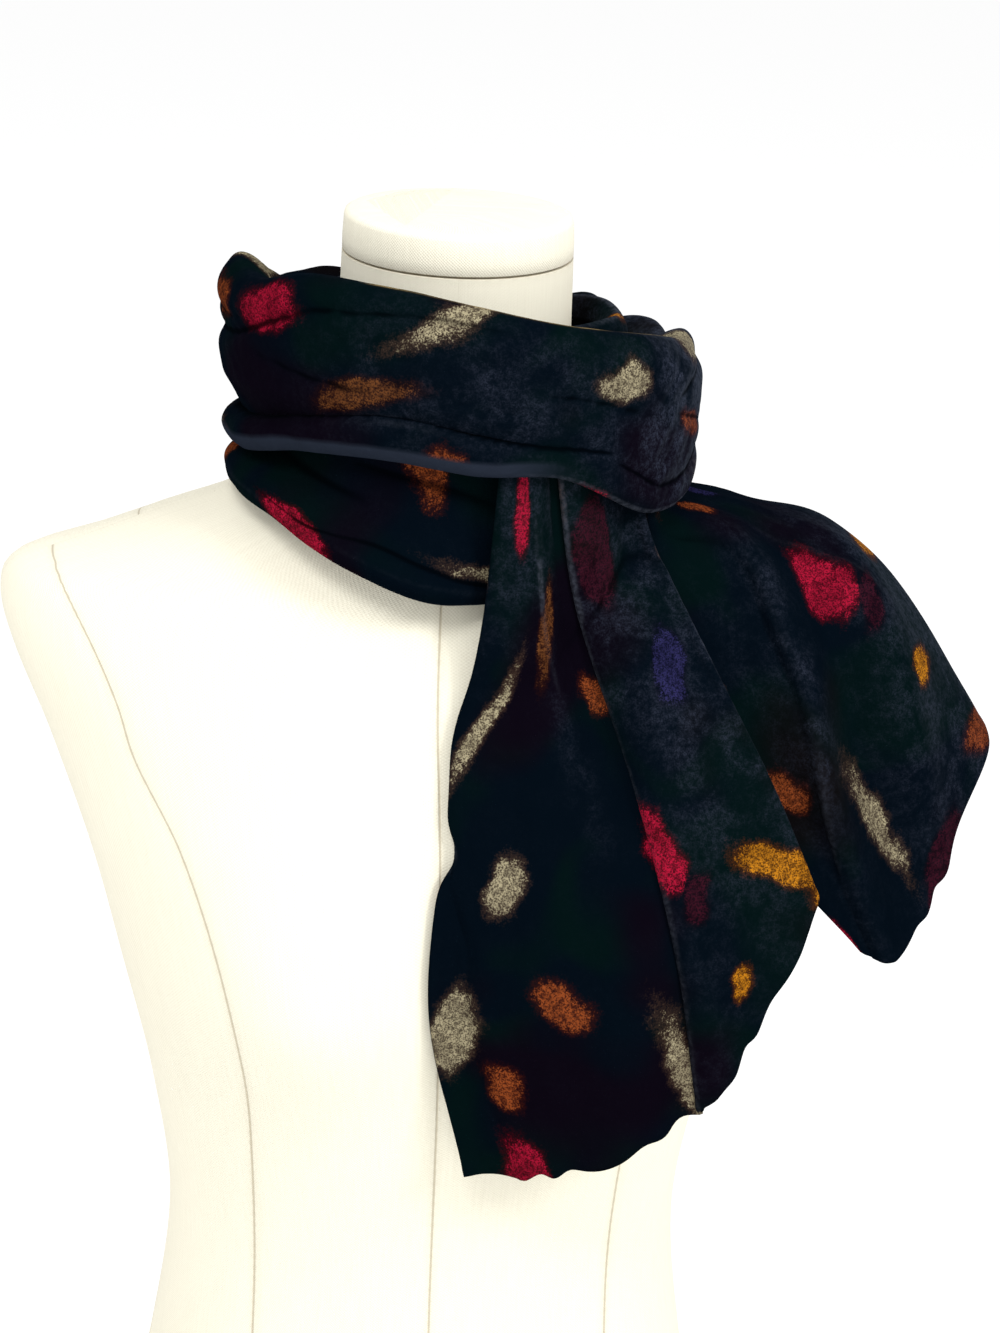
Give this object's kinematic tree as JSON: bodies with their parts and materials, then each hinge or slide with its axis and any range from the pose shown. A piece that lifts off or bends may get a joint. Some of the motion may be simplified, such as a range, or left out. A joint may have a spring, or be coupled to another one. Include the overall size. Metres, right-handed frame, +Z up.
{
  "type": "wrap scarf on dress form",
  "caption": "Dark double-sided velvet scarf with soft coloured spots, wound round the neck of a limbless linen dress form, one tail in front and one over the shoulder.",
  "frame": {"origin": "centre line of the dress form on the flat underside of its board", "axes": "+Z up, -Y out of the form's front, +X to the viewer's right when the front is looked at"},
  "size_m": [0.4539, 0.2553, 0.728],
  "materials": {
    "velvet": "silk and rayon velvet, near-black navy with soft spots of amber, crimson, ivory and rust",
    "linen": "plain cream linen, finely woven, matt",
    "board": "clear-varnished pale wood"
  },
  "bodies": {
    "root": {"dress_form_board": "board", "dress_form_body": "linen", "dress_form_neck_cap": "linen", "neck_wrap_inner": "velvet", "neck_wrap_lower": "velvet", "neck_wrap_upper": "velvet", "front_tail": "velvet", "shoulder_tail": "velvet"}
  },
  "joints": []
}
